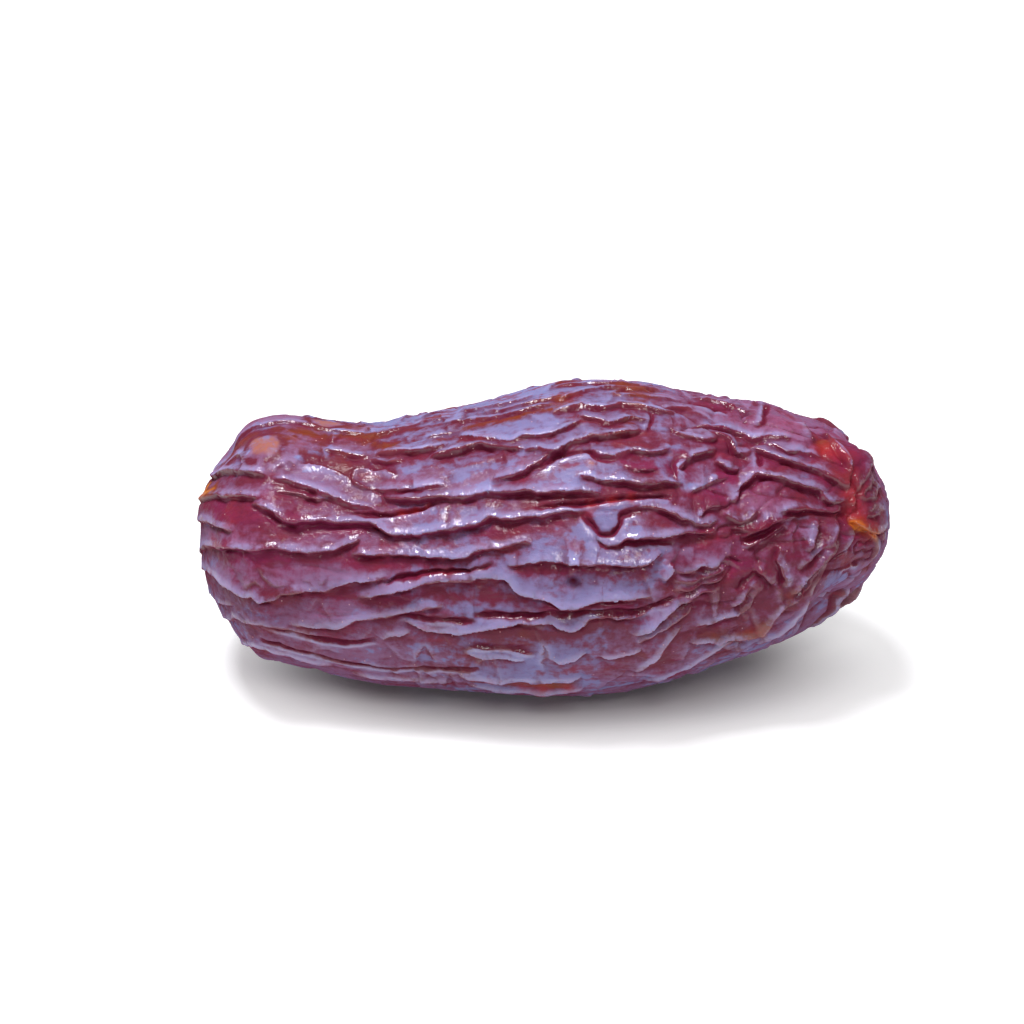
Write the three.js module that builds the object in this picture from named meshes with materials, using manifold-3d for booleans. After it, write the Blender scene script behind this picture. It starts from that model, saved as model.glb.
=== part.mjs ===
// A medjool date: one soft, wrinkled fruit lying on its side, on the flat spot that its own weight
// has pressed into its underside.
// Millimetres. +X runs along the fruit towards the stalk end, +Z is up, and the origin is on the
// surface that the fruit rests on, under the middle of its box.
import * as THREE from "three";
import { mergeVertices } from "three/addons/utils/BufferGeometryUtils.js";
import Module from "manifold-3d";

// Driving dimensions
const LENGTH = 50; // blunt tip to stalk end
const BELLY_RADIUS = 11.5; // at the fattest girth
const SETTLED_BY = 0.55; // how far the underside is pressed flat

// The core line that the flesh is built round, in shares of the length: distance from the tip,
// lean to +Y and rise over its lowest stretch. The radius is a share of the belly's.
const CORE = [
  { at: 0.0, lean: 0.016, rise: 0.021, radius: 0.78 },
  { at: 0.09, lean: 0.014, rise: 0.019, radius: 0.8 },
  { at: 0.18, lean: 0.006, rise: 0.009, radius: 0.8 },
  { at: 0.27, lean: 0.0, rise: 0.002, radius: 0.84 },
  { at: 0.36, lean: 0.0, rise: 0.006, radius: 0.9 },
  { at: 0.45, lean: 0.0, rise: 0.014, radius: 0.96 },
  { at: 0.54, lean: 0.0, rise: 0.026, radius: 1.0 },
  { at: 0.63, lean: 0.0, rise: 0.034, radius: 0.97 },
  { at: 0.72, lean: 0.0, rise: 0.04, radius: 0.88 },
  { at: 0.81, lean: -0.008, rise: 0.052, radius: 0.77 },
  { at: 0.9, lean: -0.03, rise: 0.082, radius: 0.64 },
  { at: 0.976, lean: -0.064, rise: 0.114, radius: 0.5 },
];
const END_ROUNDING = 6.4; // length of the rounding at each end

// Skin
const FOLDS_ROUND = 13; // long folds counted round the girth
const FOLD_HEIGHT = 0.8; // crest over trough
const FOLD_DRIFT = 1.1; // how far a fold wanders, in radians of its own wave
const SMOOTH_SPOT = { at: 0.46, length: 15, angle: -Math.PI / 2, width: 0.75 }; // pressed smooth
const SCAR = { radius: 2.4, depth: 1.2 }; // the dimple where the stalk cap sat

// Fineness of the faceted solid
const RINGS = 42;
const SEGMENTS = 64;

const SKIN = new THREE.MeshStandardMaterial({
  name: "date_skin",
  color: 0x744a5e,
  roughness: 0.42,
  metalness: 0,
});

const coreLine = new THREE.CatmullRomCurve3(
  CORE.map((c) => new THREE.Vector3(c.at, c.lean, c.rise).multiplyScalar(LENGTH)),
  false,
  "catmullrom",
);
const girth = new THREE.SplineCurve(
  CORE.map((c) => new THREE.Vector2(c.at, c.radius * BELLY_RADIUS)),
);
const coreLength = coreLine.getLength();

// 0 at the very end of the fruit, 1 from the end of its rounding onwards, round in between.
function roundEnd(distance) {
  const left = 1 - Math.min(distance / END_ROUNDING, 1);
  return Math.sqrt(1 - left * left);
}

// 1 in the middle of the spot that is pressed smooth, falling to 0 round it.
function smoothness(distance, angle) {
  const along = (distance - SMOOTH_SPOT.at * coreLength) / SMOOTH_SPOT.length;
  const turn = Math.atan2(Math.sin(angle - SMOOTH_SPOT.angle), Math.cos(angle - SMOOTH_SPOT.angle));
  return Math.exp(-(along ** 4) - (turn / SMOOTH_SPOT.width) ** 4);
}

// Height of the folded skin over its mean surface, at a distance along the fruit and an angle
// round it. The folds wander, and each one rises and fades along its length.
function foldHeight(distance, angle) {
  const wander = Math.sin(0.17 * distance + 2 * angle) + Math.sin(0.11 * distance - 3 * angle);
  const crest = (1 + Math.cos(FOLDS_ROUND * angle + FOLD_DRIFT * wander)) / 2;
  const strength = 0.7 + 0.3 * Math.sin(0.24 * distance + 4 * angle);
  const height = FOLD_HEIGHT * (strength * crest ** 1.5 - 0.4);
  return height * (1 - smoothness(distance, angle));
}

// The point of the skin at a share of the core line and an angle round it: 0 faces -Y and a
// quarter turn faces up.
function skinPoint(share, angle) {
  const distance = share * coreLength;
  const along = coreLine.getTangentAt(share);
  const back = new THREE.Vector3(0, 0, 1).cross(along).normalize();
  const up = along.clone().cross(back);
  const mean = girth.getPoint(coreLine.getUtoTmapping(share)).y;
  const ends = roundEnd(distance) * roundEnd(coreLength - distance);
  const radius = mean * ends + foldHeight(distance, angle) * ends ** 3;
  const nearScar = share > 0.5 ? Math.exp(-((radius / SCAR.radius) ** 2)) : 0;
  return coreLine
    .getPointAt(share)
    .addScaledVector(along, -SCAR.depth * nearScar)
    .addScaledVector(back, -radius * Math.cos(angle))
    .addScaledVector(up, radius * Math.sin(angle));
}

// A sphere drawn out into the fruit: its poles become the two ends.
function fruitGeometry() {
  const geometry = new THREE.SphereGeometry(1, SEGMENTS, RINGS);
  const position = geometry.getAttribute("position");
  for (let i = 0; i < position.count; i++) {
    const share = THREE.MathUtils.clamp((1 + position.getY(i)) / 2, 0, 1);
    const angle = Math.atan2(position.getX(i), -position.getZ(i));
    const point = skinPoint(share, angle);
    position.setXYZ(i, point.x, point.y, point.z);
  }
  return geometry;
}

// Turns a closed geometry into a manifold-3d solid.
function solidOf(geometry, manifold) {
  const bare = geometry.clone();
  bare.deleteAttribute("normal");
  bare.deleteAttribute("uv");
  const merged = mergeVertices(bare, 1e-3);
  const mesh = new manifold.Mesh({
    numProp: 3,
    vertProperties: merged.getAttribute("position").array,
    triVerts: new Uint32Array(merged.index.array),
  });
  return new manifold.Manifold(mesh);
}

// Turns a manifold-3d solid back into a geometry.
function geometryOf(solid) {
  const mesh = solid.getMesh();
  const geometry = new THREE.BufferGeometry();
  geometry.setAttribute("position", new THREE.BufferAttribute(mesh.vertProperties, 3));
  geometry.setIndex(new THREE.BufferAttribute(mesh.triVerts, 1));
  geometry.computeVertexNormals();
  return geometry;
}

// The fruit with its underside pressed flat, standing on Z = 0 in the middle of its box.
function settledFruit(manifold) {
  const fruit = fruitGeometry();
  fruit.computeBoundingBox();
  const floor = fruit.boundingBox.min.z + SETTLED_BY;
  const block = new THREE.BoxGeometry(2 * LENGTH, 2 * LENGTH, LENGTH);
  block.translate(LENGTH / 2, 0, floor - LENGTH / 2);
  const settled = geometryOf(solidOf(fruit, manifold).subtract(solidOf(block, manifold)));
  settled.computeBoundingBox();
  const middle = settled.boundingBox.getCenter(new THREE.Vector3());
  settled.translate(-middle.x, -middle.y, -floor);
  return settled;
}

const manifold = await Module();
manifold.setup();

const date = new THREE.Mesh(settledFruit(manifold), SKIN);
date.name = "date_fruit";

const medjoolDate = new THREE.Group();
medjoolDate.add(date);

export default medjoolDate;
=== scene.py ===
# A medjool date lying on a pale surface: one soft fruit whose loose skin has dried into folds.
import math

import bmesh
import bpy
import numpy as np
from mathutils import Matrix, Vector, noise


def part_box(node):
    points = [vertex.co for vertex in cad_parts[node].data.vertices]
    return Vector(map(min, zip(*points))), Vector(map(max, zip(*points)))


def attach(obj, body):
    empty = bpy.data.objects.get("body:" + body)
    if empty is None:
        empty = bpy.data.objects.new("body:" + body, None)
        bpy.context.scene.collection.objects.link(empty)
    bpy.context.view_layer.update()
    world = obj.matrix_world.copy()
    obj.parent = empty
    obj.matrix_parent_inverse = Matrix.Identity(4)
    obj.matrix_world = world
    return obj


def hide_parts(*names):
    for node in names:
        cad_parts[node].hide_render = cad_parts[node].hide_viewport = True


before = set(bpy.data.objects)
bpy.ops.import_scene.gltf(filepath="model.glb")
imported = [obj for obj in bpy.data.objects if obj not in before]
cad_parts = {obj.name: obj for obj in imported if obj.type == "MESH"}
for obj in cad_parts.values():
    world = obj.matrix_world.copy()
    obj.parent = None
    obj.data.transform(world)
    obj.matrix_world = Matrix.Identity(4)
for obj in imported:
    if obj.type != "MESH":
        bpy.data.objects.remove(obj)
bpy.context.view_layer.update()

mm = 0.001


# The flesh under the skin.
# Places on the fruit are given as (along, around): millimetres from the blunt tip along the core
# line, and degrees round it, where 0 faces the viewer, 90 faces up and -90 faces the table.

flesh = {
    "length": 50.0,
    "bellyRadius": 11.5,
    "endRounding": 6.4,
    "settledBy": 0.55,  # how far the underside is pressed flat
    # distance from the tip, lean to the back, rise (shares of the length), radius (of the belly's)
    "core": [
        (0.0, 0.016, 0.021, 0.78),
        (0.09, 0.014, 0.019, 0.80),
        (0.18, 0.006, 0.009, 0.80),
        (0.27, 0.0, 0.002, 0.84),
        (0.36, 0.0, 0.006, 0.90),
        (0.45, 0.0, 0.014, 0.96),
        (0.54, 0.0, 0.026, 1.0),
        (0.63, 0.0, 0.034, 0.97),
        (0.72, 0.0, 0.04, 0.88),
        (0.81, -0.008, 0.052, 0.77),
        (0.9, -0.03, 0.082, 0.64),
        (0.976, -0.064, 0.114, 0.5),
    ],
}


def smoothCurve(points, steps):
    # rounded curve through the points, as an array of steps rows per stretch and the last point
    points = np.asarray(points, float)
    held = np.vstack([2 * points[0] - points[1], points, 2 * points[-1] - points[-2]])
    t = np.linspace(0, len(points) - 1, steps * (len(points) - 1) + 1)
    i = np.minimum(t.astype(int), len(points) - 2)
    u = (t - i)[:, None]
    a, b, c, d = (held[i + k] for k in range(4))
    return 0.5 * (2 * b + (c - a) * u + (2 * a - 5 * b + 4 * c - d) * u**2 + (3 * b - a - 3 * c + d) * u**3)


def unit(vectors):
    return vectors / np.maximum(np.linalg.norm(vectors, axis=-1, keepdims=True), 1e-12)


class Core:
    # the line that the flesh is built round, as arrays over its own length
    line = smoothCurve(flesh["core"], 100)
    place = line[:, :3] * flesh["length"]
    girth = line[:, 3] * flesh["bellyRadius"]
    travel = np.concatenate([[0], np.cumsum(np.linalg.norm(np.diff(place, axis=0), axis=1))])
    length = travel[-1]
    forward = unit(np.gradient(place, travel, axis=0))
    back = unit(np.cross([0, 0, 1], forward))
    up = np.cross(forward, back)


def atLength(along, values):
    if values.ndim == 1:
        return np.interp(along, Core.travel, values)
    return np.stack([np.interp(along, Core.travel, column) for column in values.T], axis=-1)


def roundEnd(distance):
    left = 1 - np.clip(distance / flesh["endRounding"], 0, 1)
    return np.sqrt(1 - left**2)


def fleshRadius(along):
    return atLength(along, Core.girth) * roundEnd(along) * roundEnd(Core.length - along)


def fleshPoint(along, around):
    radius = fleshRadius(along)[..., None]
    turn = np.radians(around)[..., None]
    sideways = -atLength(along, Core.back) * np.cos(turn) + atLength(along, Core.up) * np.sin(turn)
    return atLength(along, Core.place) + sideways * radius


# The skin: a fine sheet wrapped round the flesh.

weave = {"alongCount": 560, "aroundCount": 760, "thinnedTo": 196000}


def wrapped(name):
    # a sheet whose long edges meet under the fruit and whose short edges close on its two ends,
    # with its rows spaced evenly over the skin
    bm = bmesh.new()
    bmesh.ops.create_grid(bm, x_segments=weave["aroundCount"], y_segments=weave["alongCount"], size=1)
    mesh = bpy.data.meshes.new(name)
    bm.to_mesh(mesh)
    bm.free()
    sheet = np.empty(len(mesh.vertices) * 3, np.float32)
    mesh.vertices.foreach_get("co", sheet)
    across, down = sheet.reshape(-1, 3)[:, 0].astype(float), sheet.reshape(-1, 3)[:, 1].astype(float)
    stations = Core.length * (1 - np.cos(np.linspace(0, math.pi, 4001))) / 2
    radii = fleshRadius(stations)
    skinTravel = np.concatenate([[0], np.cumsum(np.hypot(np.diff(stations), np.diff(radii)))])
    along = np.interp((1 + down) / 2 * skinTravel[-1], skinTravel, stations)
    return mesh, along, -90 - 180 * across


mesh, along, around = wrapped("date_skin")
base = fleshPoint(along, around)
print("sheet wrapped round the flesh:", len(along), "points")


def outward(along, around):
    # the direction straight out of the smooth flesh
    nearer = np.clip(along, 0.02, Core.length - 0.02)
    acrossStep = fleshPoint(nearer, around + 0.1) - fleshPoint(nearer, around - 0.1)
    alongStep = fleshPoint(nearer + 0.01, around) - fleshPoint(nearer - 0.01, around)
    return unit(np.cross(acrossStep, alongStep))


normal = outward(along, around)
if np.mean(np.sum(normal * (base - base.mean(axis=0)), axis=1)) < 0:
    normal = -normal


# The folds.
# Each lip is a crest line of the skin with its height in mm, the width of bare flesh under it in mm
# and its places. The skin rises gently to it on its left and drops on its right, as it is drawn.

lips = [
    # round the blunt tip, each running over it to the far side
    (0.45, 0.60, [(1.5, 150), (1.0, 120), (0.95, 100), (1.3, 82), (2, 73.5), (3, 67.5), (4, 62.5),
        (5, 60.5)]),
    (0.40, 0.60, [(0.35, 150), (0.2, 118), (0.4, 82), (0.9, 66), (1.3, 61), (2, 57), (3, 52.5), (4, 50.5),
        (5, 50)]),
    (0.30, 0.30, [(0.15, 160), (0.08, 118), (0.3, 66), (0.6, 48), (1.2, 42), (1.7, 39), (2.4, 35),
        (3.2, 33.5)]),
    (0.35, 0.30, [(0.35, -100), (0.13, -60), (0.35, -20), (0.8, -2), (1.5, 2), (2.4, 3.5), (3.1, 3),
        (4.1, 1.5), (4.9, 4.2), (5.9, 2.7), (6.9, 5.8), (7.3, 8.5), (8.1, 10), (9.5, 12), (10.3, 12.8),
        (12, 17.5), (14.2, 22)]),
    (0.20, 0.20, [(0.95, -85), (0.71, -60), (0.9, -38), (1.6, -22), (2.4, -12), (3, -9)]),
    (0.20, 0.15, [(1.9, -85), (1.57, -60), (1.8, -40), (2.9, -19), (3.9, -15), (4.8, -12.5), (6, -11),
        (7, -11.5), (8.4, -12), (10, -12.5)]),
    (0.30, 0.30, [(3.4, -75), (3.2, -52), (4, -35), (5, -28.5), (6, -28), (7, -29), (8, -30.5),
        (11, -34)]),
    (0.18, 0.30, [(0.8, 125), (1.6, 102), (3, 97), (6, 98), (9, 95.5), (12, 94), (15, 96), (18, 99)]),
    (0.25, 0.25, [(2.2, 77), (2.9, 79), (3.4, 74), (3.6, 66), (3.2, 61.5)]),
    # the tongue near the tip, and the ridge under it
    (0.45, 0.30, [(5.5, 59.5), (7.1, 58), (9.8, 54.3), (11.6, 50.6), (13.1, 50)]),
    (0.30, 0.15, [(13.1, 50), (13.6, 52.5), (12.9, 56), (11.9, 59.5), (10.1, 64.5), (8.2, 68),
        (7.0, 68)]),
    (0.35, 0.35, [(5.8, 53.5), (7.5, 53), (9.5, 52.8), (10.6, 51.3), (11.8, 48)]),
    # the long folds along the middle
    (0.60, 0.75, [(13.6, 55.5), (15, 52.7), (17, 52.5), (19.5, 51), (21, 50.8), (23.5, 50.2), (25, 49.2),
        (28.1, 46.7), (29.5, 45.8)]),
    (0.60, 0.45, [(4.4, 47.5), (5, 45.5), (6, 43.5), (7.3, 41), (8.6, 42.3), (10, 43.3), (12.5, 43.8),
        (13.5, 42.5), (14.5, 38.7), (15.5, 38.2), (17, 38.8), (19, 39.3), (21, 40), (22, 42.5),
        (23.1, 40.8), (25, 40.3), (26.5, 40.3), (28.2, 39.8)]),
    (0.40, 1.20, [(0.12, -110), (0.03, -60), (0.15, 2), (0.5, 19), (1.3, 23.5), (2.5, 25), (3.7, 25),
        (5, 25.5), (6.5, 28), (9.8, 29.3), (11, 32.5), (12.3, 36.5)]),
    (0.45, 0.40, [(11.5, 29.3), (13, 30), (14.5, 31), (15.5, 31), (17.5, 29), (19.5, 28.3), (21, 30.3),
        (23, 31), (24.8, 31.5)]),
    (0.45, 0.45, [(12.3, 12.5), (13, 12.5), (14, 14.2), (15, 16.3), (16.2, 18.3), (18, 19), (20, 19),
        (22, 19.5), (22.8, 18.5), (23.6, 13), (25, 11.5), (26, 8), (27, 6.8), (27.8, 7), (28.8, 8.5),
        (30, 8.5), (31, 7.3), (32.4, 6.8)]),
    (0.45, 0.35, [(22.8, 23.5), (23.5, 24.2), (25.4, 24.2), (27, 22.8), (28.3, 21.7), (29.5, 21.2),
        (31.3, 20.2), (32.2, 20.8), (33, 23.5)]),
    (0.40, 0.35, [(15.2, 1.8), (16, 0.3), (17, -1.8), (18.5, -2.8), (20, -1.3), (21.6, 0.5), (22.6, 2),
        (24, 1.8), (25.2, 1), (26, -0.8), (26.8, -2), (27.5, -1), (28, 1), (29.2, 2), (30, 0.7),
        (30.9, 0.2), (32, 1.2)]),
    (0.30, 0.30, [(8, -8), (9.7, -6), (11.2, -4.5), (12.2, 0), (14, 4), (14.9, 6), (16.5, 8.5), (18, 9)]),
    (0.45, 0.40, [(29.4, 27.3), (30.3, 27.7), (30.9, 29), (32.3, 29.2), (34, 29.7), (35.5, 30),
        (38, 30.5)]),
    # the upper side
    (0.50, 0.45, [(17.5, 72), (19.5, 71.3), (20.7, 72.2), (22.5, 70.5), (23.8, 68.7), (25.1, 65.7)]),
    (0.40, 0.30, [(12.6, 79), (15, 76.8), (16.5, 75), (17.3, 75), (18.9, 76.5)]),
    (0.30, 0.25, [(12.3, 75), (13.5, 72.5), (15.3, 71)]),
    (0.35, 0.20, [(15, 63.5), (13.8, 65.7), (12, 67.3), (11.3, 66.5), (11.2, 63.5), (11.6, 60), (13, 58.3),
        (15, 57.2), (17, 56.7), (19, 56)]),
    (0.50, 0.60, [(22.3, 56.5), (23.3, 55.8), (24.5, 56.3), (25.7, 59.7), (26.5, 62.3), (27.3, 64)]),
    (0.45, 0.40, [(24.9, 65.3), (25.8, 64.7), (26.6, 63.3), (27.4, 64.7), (28.5, 67.2), (29.2, 68.7),
        (30.6, 68.7), (31.7, 70.3), (32.3, 72)]),
    (0.45, 0.50, [(28, 52.7), (28.8, 51.8), (29.8, 50.2), (31, 48.8), (32.3, 48.6), (34.4, 49.2),
        (35, 50)]),
    (0.35, 0.40, [(29.2, 59.3), (30.1, 59.2), (31, 60.2), (31.8, 62.2), (33, 61.8), (34.3, 64)]),
    (0.25, 0.25, [(31, 55.3), (32.2, 54), (33.2, 55)]),
    (0.30, 0.30, [(35, 59), (34.6, 56), (34.8, 53.5), (34.6, 49.5)]),
    (0.30, 0.25, [(28.3, 79.3), (29.4, 76.5), (30.5, 74.5), (31.8, 77.7), (33, 77.7)]),
    (0.35, 0.30, [(26.8, 82), (28.3, 84), (29.2, 84), (30.3, 83), (31.3, 85.5), (33, 84), (35, 83)]),
    (0.26, 0.30, [(26.5, 92), (27.3, 91), (28, 93), (29.3, 97.3), (31, 99.3), (33.3, 98)]),
    (0.30, 0.20, [(19.7, 79.8), (20.7, 77.7), (22, 74.3), (23.4, 71.8), (24.3, 70.8), (25, 71.5),
        (26.6, 71), (27.8, 74), (28.8, 76.5)]),
    (0.22, 0.50, [(18, 92.5), (20, 91), (22.5, 88.5), (25, 87), (27, 88.5)]),
    (0.30, 0.25, [(8.6, 80), (10.5, 76.5), (12.3, 75.5)]),
    (0.25, 0.20, [(33.8, 86), (35.2, 87), (36.5, 88)]),
    (0.22, 0.20, [(19.5, 101), (22, 99.5), (24, 98.5), (25.8, 99.5)]),
    (0.22, 0.20, [(22, 95), (24, 92.5), (26, 92), (27.5, 94)]),
    (0.22, 0.25, [(26.5, 104), (29, 105.5), (31.5, 105), (34, 103)]),
    (0.20, 0.20, [(30, 92.5), (32, 92), (34, 93.5), (35.5, 95)]),
    (0.20, 0.20, [(17, 83), (18.6, 84), (20.2, 82.5)]),
    # the stalk half: short, crinkled and crossing
    (0.35, 0.40, [(36, 75.5), (37, 77.5), (38.6, 78.5), (40.2, 78.5), (41.5, 77.3), (42.5, 75.5),
        (44, 76.5), (45.5, 78)]),
    (0.30, 0.20, [(34.4, 76), (34.9, 71.5), (36, 70), (37.4, 69.5), (38, 71.5), (37, 74.3),
        (35.6, 73.5)]),
    (0.40, 0.40, [(37.5, 74.5), (39, 73.3), (40, 71.2), (40.5, 67.5), (41, 65.3), (42, 65.8),
        (42.4, 68)]),
    (0.50, 0.60, [(34.6, 55), (36, 60), (37.4, 64), (38.2, 65.5)]),
    (0.35, 0.30, [(38, 60.5), (39, 57.8), (40, 56.3), (41.2, 56.5)]),
    (0.50, 0.40, [(39.8, 45), (40.6, 47.5), (41.5, 50), (42.4, 52.3), (43.2, 53.3), (44.2, 51.8),
        (45.2, 49.5), (46.2, 47), (47.1, 45.8), (47.6, 43.5), (47.8, 40), (48.1, 37), (48.5, 36),
        (48.9, 37)]),
    (0.30, 0.25, [(42.6, 74.5), (43.5, 73), (44.5, 71.5), (45.3, 69), (46, 69.5), (47, 70.5),
        (47.6, 72)]),
    (0.45, 0.40, [(42.6, 70.5), (43.6, 66.5), (45, 63), (45.8, 61.5), (46.6, 61), (47.5, 59), (48.4, 56.5),
        (49, 54)]),
    (0.25, 0.25, [(36, 103), (38, 101), (40, 98), (41.3, 96), (42.4, 96.5)]),
    (0.20, 0.20, [(36.2, 86), (37, 85), (37.8, 83), (38.4, 80.5)]),
    (0.35, 0.35, [(35.6, 45), (36.8, 48), (38, 51), (39.5, 53.5)]),
    (0.35, 0.30, [(39.2, 42), (40.2, 43), (40.8, 47)]),
    (0.35, 0.30, [(36.5, 35), (37, 38.5), (38.3, 40.5)]),
    (0.45, 0.35, [(38.7, 36.5), (39.4, 34.2), (40.5, 32.5), (41.5, 32.3), (42.2, 33.5), (42.8, 36)]),
    (0.35, 0.35, [(39.3, 31), (40.5, 29.5), (42, 29), (43, 30), (44.2, 31.5)]),
    (0.45, 0.60, [(31.8, 40.2), (32.5, 39.7), (34, 37.5), (35.2, 34.8), (36.8, 33), (38, 34.3)]),
    (0.45, 0.20, [(44.3, 31.5), (45.2, 32.5), (46, 31.5), (47, 30), (48, 28.5), (48.6, 26), (49, 22)]),
    (0.60, 0.80, [(41, 26.5), (42.8, 27.5), (44.5, 29), (45.3, 29.5)]),
    (0.41, 0.15, [(41.2, 20.5), (42.5, 21.5), (43.8, 23.5), (44.9, 26.5)]),
    (0.41, 0.25, [(33.2, 12.5), (33.8, 16), (33.5, 18.5)]),
    (0.41, 0.25, [(34, 15.7), (35.6, 15.2), (36.5, 16.2), (38.2, 15.7)]),
    (0.41, 0.25, [(33.9, 11.5), (35.5, 11.5), (37, 13), (38.5, 13)]),
    (0.47, 0.30, [(33.8, 8.3), (35, 8.5), (36.2, 9.5), (37.3, 9.3), (38.3, 10)]),
    (0.60, 0.40, [(31, -9), (31.5, -7), (32.5, -3), (33.5, 1), (34.5, 3.5), (35.5, 5), (36.6, 5.3),
        (37.5, 3.5)]),
    (0.47, 0.30, [(31.2, -12), (32, -9.5), (33, -6), (34.5, -2.5), (35.3, 0.5)]),
    (0.41, 0.20, [(38.6, -5.5), (39.3, -3.8), (40.2, -1), (40.8, 1.5)]),
    (0.34, 0.20, [(35.5, -10.5), (37.5, -10), (39.3, -9.5), (40.3, -7.5), (41.3, -3.5), (42, -1)]),
    (0.47, 0.45, [(41.5, 9.5), (42.2, 6), (42.6, 1), (42.9, -3)]),
    (0.47, 0.40, [(44.3, 14), (43.8, 9), (44, 3), (43.9, -3), (43.4, -6.5)]),
    (0.34, 0.25, [(44.9, -1.5), (46, -0.5), (47, 1), (47.6, 4)]),
    (0.60, 0.40, [(43.6, -11), (44.5, -10), (45.2, -9), (46, -8), (46.8, -7.5), (47.6, -4.5), (48.2, 3)]),
    (0.34, 0.10, [(43.6, -19), (44.6, -17), (45.5, -15.5), (46.5, -13), (47.4, -10), (48, -6),
        (48.3, 0)]),
    (0.27, 0.10, [(45.2, -27), (45.9, -22), (46.8, -16), (47.5, -12)]),
    (0.60, 0.45, [(35, -17.5), (37, -20.5), (39, -24.5), (40.5, -26), (41.3, -22.5), (42.3, -17.5),
        (43.3, -16), (44.3, -14.5), (44.9, -12), (45, -8)]),
    # the folds standing up to the scar
    (0.47, 0.35, [(46.2, 5), (46.7, 9), (47.1, 15), (47.3, 22)]),
    (0.47, 0.35, [(47.5, -2), (48, 4), (48.3, 12), (48.3, 20)]),
    (0.27, 0.10, [(48.3, -20), (48.5, -12), (48.9, -4), (48.9, 8)]),
    (0.20, 0.30, [(48.4, -48), (48.2, -38), (47.6, -30)]),
    # round the stalk end
    (0.30, 0.20, [(49.2, 31), (49.25, 40), (49.2, 48), (49.0, 57)]),
    (0.40, 0.60, [(46.9, 104), (47.3, 95), (47.8, 86), (48.5, 78), (49.05, 69), (49.25, 60),
        (49.35, 52)]),
    (0.20, 0.20, [(49.5, 72), (49.6, 58), (49.5, 46)]),
    (0.30, 0.30, [(46.6, 85), (46.2, 89), (45.6, 97), (45.4, 101)]),
    (0.47, 0.40, [(49.2, 14), (49.5, -2), (49.7, -20), (49.85, -50), (49.9, -100)]),
    # low on the near side
    (0.30, 0.25, [(13.8, -8.5), (14.2, -5), (15.5, -3.5)]),
    (0.30, 0.25, [(19, -14), (20.5, -14.5), (22, -15.5), (23.3, -17)]),
    (0.30, 0.25, [(24, -15), (22, -11), (20, -10.5), (19, -13)]),
    (0.30, 0.25, [(25, -16), (25.6, -18), (26.5, -16), (27.7, -13.5)]),
    (0.30, 0.25, [(28.4, -16.5), (29, -18.5), (30, -18), (31.5, -16)]),
    (0.40, 0.30, [(18.5, -28), (21, -29.5), (24, -30), (27, -29)]),
    (0.35, 0.60, [(19, -38), (21, -40), (24, -41), (27, -39)]),
    (0.41, 0.30, [(31.5, -40), (34, -38), (36.3, -32), (38, -27), (39.2, -26)]),
    (0.34, 0.25, [(31, -30), (32.3, -22), (33.3, -14), (34.2, -8)]),
    (0.41, 0.30, [(40, -40), (43, -36), (45, -28)]),
    (0.30, 0.30, [(12, -38), (15, -36), (18, -38)]),
]

# Each slit is a line where the skin is pinched in: its depth and half width in mm and its places.
slits = [
    (0.45, 0.14, [(11.3, 46.7), (13, 46.4), (15, 47), (17, 48.3), (17.8, 50)]),
    (0.50, 0.14, [(13.8, 18.5), (15, 20.8), (16.3, 21.7), (18, 22.3), (20, 22.3), (21, 23.2),
        (21.9, 24.5)]),
    (0.35, 0.14, [(14.8, 4), (16, 4.3), (17.3, 3.2), (18.8, 2.6), (20, 3)]),
    (0.47, 0.17, [(20, 5.3), (22, 5.3), (23.5, 4.5), (25, 4.2), (27, 3.5), (28.6, 3.3), (30, 3), (31, 1.8),
        (32.3, 3), (34, 5.5)]),
    (0.35, 0.17, [(5.8, -21), (8, -24), (10, -26.5), (12, -27.3), (14, -28), (15.5, -26), (18, -24.5),
        (20, -23)]),
    (0.25, 0.17, [(6.5, -12), (8.5, -13), (10, -14.5), (12, -13), (13.5, -9)]),
    (0.45, 0.14, [(25.5, 43), (27, 42.3), (28, 41.8), (29, 42.3), (30, 42.8), (31.3, 43.3), (33, 43.7),
        (34, 42.8)]),
    (0.35, 0.20, [(25.5, 57), (26.4, 58.5), (26.9, 61), (27.8, 62), (28.8, 61.5), (29.5, 58.7),
        (30.6, 57.7)]),
    (0.35, 0.18, [(28.2, 39.3), (28.7, 35), (29.2, 31.3), (30, 31.3), (30.6, 34.3), (30.8, 37),
        (31.3, 38.2), (32.2, 39)]),
    (0.30, 0.16, [(28.9, 31), (29.1, 28.5), (29.7, 26.7), (30.8, 27.2), (32.3, 27.3), (34, 26.5)]),
    (0.25, 0.16, [(33, 82), (33, 77), (32.8, 73.5), (32.7, 70.5)]),
    (0.45, 0.23, [(40.8, 24), (42.5, 23.3), (43.5, 24.5), (44.5, 27)]),
    (0.35, 0.18, [(44.6, 30), (45.5, 30.5), (46.5, 29.3), (47.5, 27.5), (48.4, 25), (48.9, 22)]),
    (0.30, 0.20, [(49.3, 16), (49.4, 30), (49.38, 42), (49.3, 50)]),
    (0.25, 0.16, [(42.8, 112), (42.9, 104), (43.1, 96), (43.2, 88), (42.8, 82)]),
    (0.25, 0.16, [(43.1, 67), (43.3, 62), (43.4, 57)]),
    (0.25, 0.25, [(39.3, 2), (40, 4), (41, 5.5), (41.9, 7)]),
    (0.20, 0.20, [(36.5, 94), (38, 93), (39.5, 91)]),
    (0.22, 0.16, [(38.5, 18), (39.5, 16), (40.5, 13)]),
]

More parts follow.
